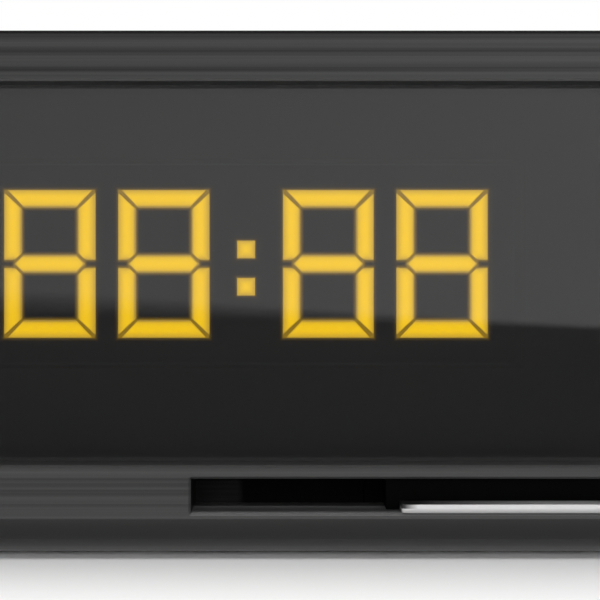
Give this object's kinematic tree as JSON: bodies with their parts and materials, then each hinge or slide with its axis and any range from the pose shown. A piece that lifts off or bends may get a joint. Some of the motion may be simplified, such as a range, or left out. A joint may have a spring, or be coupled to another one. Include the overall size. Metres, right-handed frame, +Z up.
{
  "type": "satellite tv receiver",
  "caption": "Set-top satellite receiver with a brushed fascia, a recessed smoked window over an amber clock display, a smart card in its slot, front keys and rear sockets.",
  "frame": {"origin": "middle of the footprint, on the surface that the feet stand on", "axes": "+X to the right seen from the front, +Y from the front to the back, +Z up"},
  "size_m": [0.3, 0.213, 0.0479],
  "materials": {
    "brushed_metal": "brushed, dark anodised",
    "black_plastic": "fine texture",
    "dull_black": "dull",
    "smoked_window": "smoked acrylic, polished",
    "cover_paint": "powder coat",
    "zinc_steel": "zinc plated",
    "panel_paint": "satin",
    "rubber": "matte",
    "screw_black": "black zinc",
    "screw_zinc": "zinc plated",
    "amber": "lit segment",
    "board_green": "solder mask",
    "board_tan": "paper board",
    "clear_ring": "frosted light guide",
    "key_plastic": "satin",
    "card_white": "satin laminate",
    "gold": "gold plated",
    "nickel": "nickel plated",
    "white_plastic": "satin",
    "rca_colours": "yellow, white and red",
    "ferrite": "sintered ferrite",
    "winding_tape": "polyester tape",
    "capacitor_sleeve": "shrink sleeve",
    "chip_black": "moulded epoxy",
    "sink": "black anodised",
    "wire_insulation": "PVC",
    "ribbon_grey": "PVC",
    "ir_black": "tinted epoxy"
  },
  "bodies": {
    "receiver": {"front_fascia": "brushed_metal", "front_bezel": "dull_black", "display_window": "smoked_window", "top_cover": "cover_paint", "chassis_tray": "zinc_steel", "rear_panel": "panel_paint", "foot_1": "rubber", "foot_2": "rubber", "foot_3": "rubber", "foot_4": "rubber", "case_screws": "screw_black", "board_screws": "screw_zinc", "display_housing": "dull_black", "digit_1": "amber", "digit_2": "amber", "digit_3": "amber", "digit_4": "amber", "colon_dots": "amber", "front_board": "board_green", "tact_switches": "black_plastic", "ir_receiver": "ir_black", "power_light_ring": "clear_ring", "usb_shell": "nickel", "usb_tongue": "white_plastic", "reader_base": "dull_black", "reader_cover": "dull_black", "reader_contacts": "gold", "main_board": "board_green", "power_board": "board_tan", "tuner_can": "nickel", "f_connectors": "nickel", "f_insulators": "white_plastic", "f_nuts": "nickel", "scart_shell": "nickel", "scart_core": "black_plastic", "rca_housing": "black_plastic", "rca_barrels": "nickel", "rca_inserts": "rca_colours", "hdmi_socket": "nickel", "ethernet_socket": "black_plastic", "mains_inlet": "black_plastic", "inlet_pins": "nickel", "rocker_frame": "black_plastic", "transformer_core": "ferrite", "transformer_winding": "winding_tape", "capacitors": "capacitor_sleeve", "main_chips": "chip_black", "chip_heatsink": "sink", "board_headers": "white_plastic", "power_leads": "wire_insulation", "ribbon_cable": "ribbon_grey"},
    "power_button_body": {"power_button": "key_plastic"},
    "card_body": {"smart_card": "card_white", "card_chip": "gold"},
    "rocker_body": {"power_rocker": "key_plastic"},
    "key_ok_body": {"key_ok": "key_plastic"},
    "key_up_body": {"key_up": "key_plastic"},
    "key_down_body": {"key_down": "key_plastic"},
    "key_left_body": {"key_left": "key_plastic"},
    "key_right_body": {"key_right": "key_plastic"}
  },
  "joints": [
    {"name": "power_button_press", "type": "slide", "parent": "receiver", "child": "power_button_body", "axis": [0, 1, 0], "range_m": [0, 0.0005], "stiffness_N_per_m": 2000, "springref_m": -0.0001},
    {"name": "key_ok_press", "type": "slide", "parent": "receiver", "child": "key_ok_body", "axis": [0, 1, 0], "range_m": [0, 0.0005], "stiffness_N_per_m": 2000, "springref_m": -0.0001},
    {"name": "key_up_press", "type": "slide", "parent": "receiver", "child": "key_up_body", "axis": [0, 1, 0], "range_m": [0, 0.0005], "stiffness_N_per_m": 2000, "springref_m": -0.0001},
    {"name": "key_down_press", "type": "slide", "parent": "receiver", "child": "key_down_body", "axis": [0, 1, 0], "range_m": [0, 0.0005], "stiffness_N_per_m": 2000, "springref_m": -0.0001},
    {"name": "key_left_press", "type": "slide", "parent": "receiver", "child": "key_left_body", "axis": [0, 1, 0], "range_m": [0, 0.0005], "stiffness_N_per_m": 2000, "springref_m": -0.0001},
    {"name": "key_right_press", "type": "slide", "parent": "receiver", "child": "key_right_body", "axis": [0, 1, 0], "range_m": [0, 0.0005], "stiffness_N_per_m": 2000, "springref_m": -0.0001},
    {"name": "card_slide", "type": "slide", "parent": "receiver", "child": "card_body", "axis": [0, -1, 0], "range_m": [0, 0.09]},
    {"name": "power_rocker_tilt", "type": "hinge", "parent": "receiver", "child": "rocker_body", "pos_m": [-0.092, 0.096, 0.026], "axis": [1, 0, 0], "range_deg": [0, 20]}
  ]
}
